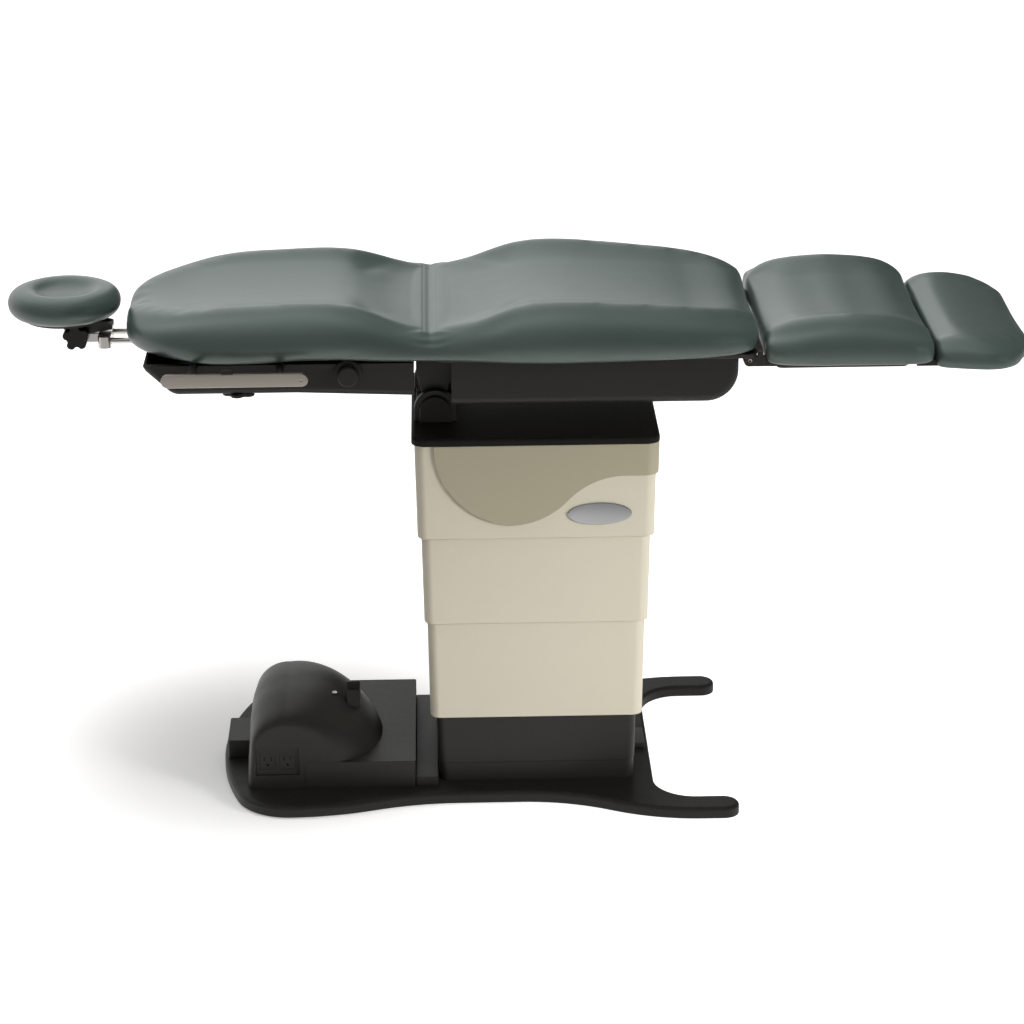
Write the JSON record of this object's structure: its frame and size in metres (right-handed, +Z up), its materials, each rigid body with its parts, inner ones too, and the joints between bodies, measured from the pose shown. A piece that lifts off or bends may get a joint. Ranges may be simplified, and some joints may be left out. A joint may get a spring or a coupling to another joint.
{
  "type": "powered procedure chair",
  "caption": "Powered procedure chair with telescoping column lift, tilting seat, reclining back, folding and extending foot section and a round dished headrest on sliding rods",
  "frame": {"origin": "on the floor, below the middle of the box of the chair at rest", "axes": "+X to the foot end, +Y to the far side, away from the pictured side, +Z up"},
  "size_m": [1.914, 0.626, 1.0109],
  "materials": {
    "base_paint": "textured matt",
    "black_plastic": "fine grain",
    "cream_plastic": "satin",
    "accent_plastic": "satin",
    "frame_paint": "satin",
    "steel": "brushed",
    "rod_chrome": "polished",
    "badge_metal": "satin",
    "vinyl": "soft upholstery vinyl",
    "glide_rubber": "matt",
    "lamp_lens": "clear"
  },
  "bodies": {
    "base": {"base_plate": "base_paint", "leveling_glides": "glide_rubber", "base_skirt": "black_plastic", "base_cover": "black_plastic", "mast_base": "steel", "lift_cylinder": "steel", "pump_box": "black_plastic", "pump_cover": "black_plastic", "pump_motor": "frame_paint", "outlet_panel": "black_plastic", "outlet_faces": "black_plastic", "control_hook": "black_plastic", "indicator_lamp": "lamp_lens", "rear_block": "black_plastic", "power_inlet": "black_plastic", "bridge_cover": "black_plastic", "front_bracket": "frame_paint"},
    "lower_stage": {"lower_cover": "cream_plastic", "mast_stage_1": "steel", "ram_stage_1": "steel"},
    "middle_stage": {"middle_cover": "cream_plastic", "mast_stage_2": "steel", "ram_stage_2": "steel"},
    "carriage": {"top_cover": "cream_plastic", "accent_panel": "accent_plastic", "badge_plate": "badge_metal", "top_cap": "black_plastic", "mast_stage_3": "steel", "ram_head": "rod_chrome", "tilt_stanchions": "frame_paint", "stanchion_covers": "black_plastic", "tilt_pins": "rod_chrome"},
    "seat": {"seat_frame": "frame_paint", "seat_pan": "black_plastic", "seat_pad": "vinyl", "recline_pins": "rod_chrome", "back_actuator": "frame_paint", "tilt_actuator": "frame_paint", "foot_actuator": "frame_paint"},
    "back_drive": {"back_rod": "rod_chrome"},
    "tilt_drive": {"tilt_rod": "rod_chrome"},
    "foot_drive": {"foot_rod": "rod_chrome"},
    "back": {"back_frame": "frame_paint", "back_housing": "black_plastic", "back_pad": "vinyl", "side_rails": "steel"},
    "near_lock": {"lock_knob_near": "black_plastic"},
    "far_lock": {"lock_knob_far": "black_plastic"},
    "rod_lock": {"rod_lock_knob": "black_plastic"},
    "headrest_carrier": {"headrest_rods": "rod_chrome"},
    "headrest": {"headrest_bracket": "frame_paint", "headrest_pad": "vinyl"},
    "headrest_lock": {"headrest_knob": "black_plastic"},
    "foot": {"foot_frame": "frame_paint", "foot_pad": "vinyl"},
    "extension": {"extension_frame": "frame_paint", "extension_pad": "vinyl"}
  },
  "joints": [
    {"name": "lift", "type": "slide", "parent": "base", "child": "carriage", "axis": [0, 0, 1], "range_m": [-0.45, 0]},
    {"name": "middle_follow", "type": "slide", "parent": "base", "child": "middle_stage", "axis": [0, 0, 1], "range_m": [-0.306, 0]},
    {"name": "lower_follow", "type": "slide", "parent": "base", "child": "lower_stage", "axis": [0, 0, 1], "range_m": [-0.119, 0]},
    {"name": "seat_tilt", "type": "hinge", "parent": "carriage", "child": "seat", "pos_m": [-0.153, 0, 0.766], "axis": [0, -1, 0], "range_deg": [0, 30]},
    {"name": "recline", "type": "hinge", "parent": "seat", "child": "back", "pos_m": [-0.16, 0, 0.94], "axis": [0, 1, 0], "range_deg": [0, 80]},
    {"name": "foot_fold", "type": "hinge", "parent": "seat", "child": "foot", "pos_m": [0.431, 0, 0.888], "axis": [0, 1, 0], "range_deg": [0, 90]},
    {"name": "extension_slide", "type": "slide", "parent": "foot", "child": "extension", "axis": [1, 0, 0], "range_m": [0, 0.15]},
    {"name": "headrest_slide", "type": "slide", "parent": "back", "child": "headrest_carrier", "axis": [-1, 0, 0], "range_m": [0, 0.15]},
    {"name": "headrest_tilt", "type": "hinge", "parent": "headrest_carrier", "child": "headrest", "pos_m": [-0.829, 0, 0.9], "axis": [0, -1, 0], "range_deg": [-4, 40]},
    {"name": "headrest_lock_turn", "type": "hinge", "parent": "headrest", "child": "headrest_lock", "pos_m": [-0.829, -0.03, 0.9], "axis": [0, -1, 0], "range_deg": [0, 180]},
    {"name": "near_lock_turn", "type": "hinge", "parent": "back", "child": "near_lock", "pos_m": [-0.312, -0.236, 0.882], "axis": [0, -1, 0], "range_deg": [0, 180]},
    {"name": "far_lock_turn", "type": "hinge", "parent": "back", "child": "far_lock", "pos_m": [-0.312, 0.236, 0.882], "axis": [0, 1, 0], "range_deg": [0, 180]},
    {"name": "rod_lock_turn", "type": "hinge", "parent": "back", "child": "rod_lock", "pos_m": [-0.514, -0.185, 0.84], "axis": [0, 0, -1], "range_deg": [0, 180]},
    {"name": "back_drive_slide", "type": "slide", "parent": "seat", "child": "back_drive", "axis": [1, 0, 0], "range_m": [-0.11, 0]},
    {"name": "tilt_drive_slide", "type": "slide", "parent": "seat", "child": "tilt_drive", "axis": [1, 0, 0], "range_m": [0, 0.043]},
    {"name": "foot_drive_slide", "type": "slide", "parent": "seat", "child": "foot_drive", "axis": [1, 0, 0], "range_m": [-0.0712, 0]}
  ],
  "couplings": [
    {"joint": "middle_follow", "follows": "lift", "ratio": 0.6778},
    {"joint": "lower_follow", "follows": "lift", "ratio": 0.2622},
    {"joint": "back_drive_slide", "follows": "recline", "m_per_rad": -0.07827},
    {"joint": "tilt_drive_slide", "follows": "seat_tilt", "m_per_rad": 0.08107},
    {"joint": "foot_drive_slide", "follows": "foot_fold", "m_per_rad": -0.04502}
  ]
}
